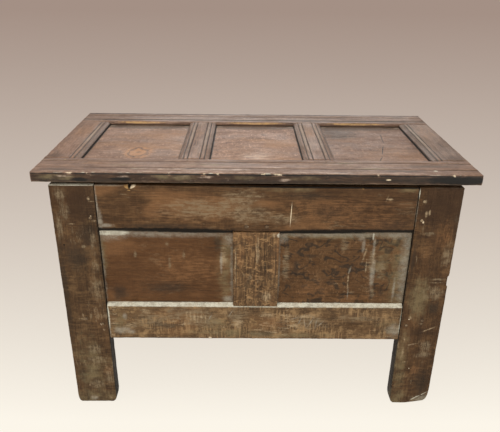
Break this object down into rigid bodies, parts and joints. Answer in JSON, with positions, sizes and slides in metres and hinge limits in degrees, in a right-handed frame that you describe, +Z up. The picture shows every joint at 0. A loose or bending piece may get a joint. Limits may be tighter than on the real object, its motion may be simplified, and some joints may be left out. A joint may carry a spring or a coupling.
{
  "type": "coffer chest",
  "caption": "Joined oak coffer chest: panelled front, rear and ends framed by stiles that form the feet, with a panelled lid hung on wrought-iron strap hinges.",
  "frame": {"origin": "on the floor under the middle of the lid, which is also the middle of the outline seen from above", "axes": "+Z up, +X to the right seen from the front, the front faces -Y; X is the length, Y the depth"},
  "size_m": [1, 0.53, 0.651],
  "materials": {
    "oak_frame": "old waxed oak, worn, dusty in the joints",
    "oak_panel": "old waxed oak with ray figure, dusty at the edges",
    "oak_board": "dry unfinished oak",
    "oak_peg": "end-grain oak",
    "wrought_iron": "hand-forged, dark, rusted in places"
  },
  "bodies": {
    "carcase": {"front_left_stile": "oak_frame", "front_right_stile": "oak_frame", "front_top_rail": "oak_frame", "front_bottom_rail": "oak_frame", "front_muntin": "oak_frame", "front_left_panel": "oak_panel", "front_right_panel": "oak_panel", "rear_left_stile": "oak_frame", "rear_right_stile": "oak_frame", "rear_top_rail": "oak_frame", "rear_bottom_rail": "oak_frame", "rear_muntin": "oak_frame", "rear_left_panel": "oak_panel", "rear_right_panel": "oak_panel", "left_end_top_rail": "oak_frame", "left_end_bottom_rail": "oak_frame", "left_end_panel": "oak_panel", "right_end_top_rail": "oak_frame", "right_end_bottom_rail": "oak_frame", "right_end_panel": "oak_panel", "floor_board_1": "oak_board", "floor_board_2": "oak_board", "floor_board_3": "oak_board", "floor_board_4": "oak_board", "floor_board_5": "oak_board", "front_frame_pegs": "oak_peg", "rear_frame_pegs": "oak_peg", "left_end_pegs": "oak_peg", "right_end_pegs": "oak_peg", "left_hinge_leaf": "wrought_iron", "right_hinge_leaf": "wrought_iron", "left_hinge_pin": "wrought_iron", "right_hinge_pin": "wrought_iron", "left_leaf_nails": "wrought_iron", "right_leaf_nails": "wrought_iron"},
    "lid": {"lid_front_rail": "oak_frame", "lid_back_rail": "oak_frame", "lid_left_stile": "oak_frame", "lid_right_stile": "oak_frame", "lid_left_muntin": "oak_frame", "lid_right_muntin": "oak_frame", "lid_left_panel": "oak_panel", "lid_centre_panel": "oak_panel", "lid_right_panel": "oak_panel", "lid_pegs": "oak_peg", "left_hinge_strap": "wrought_iron", "right_hinge_strap": "wrought_iron", "left_strap_nails": "wrought_iron", "right_strap_nails": "wrought_iron"}
  },
  "joints": [
    {"name": "lid_hinge", "type": "hinge", "parent": "carcase", "child": "lid", "pos_m": [0, 0.256, 0.619], "axis": [-1, 0, 0], "range_deg": [0, 100]}
  ]
}
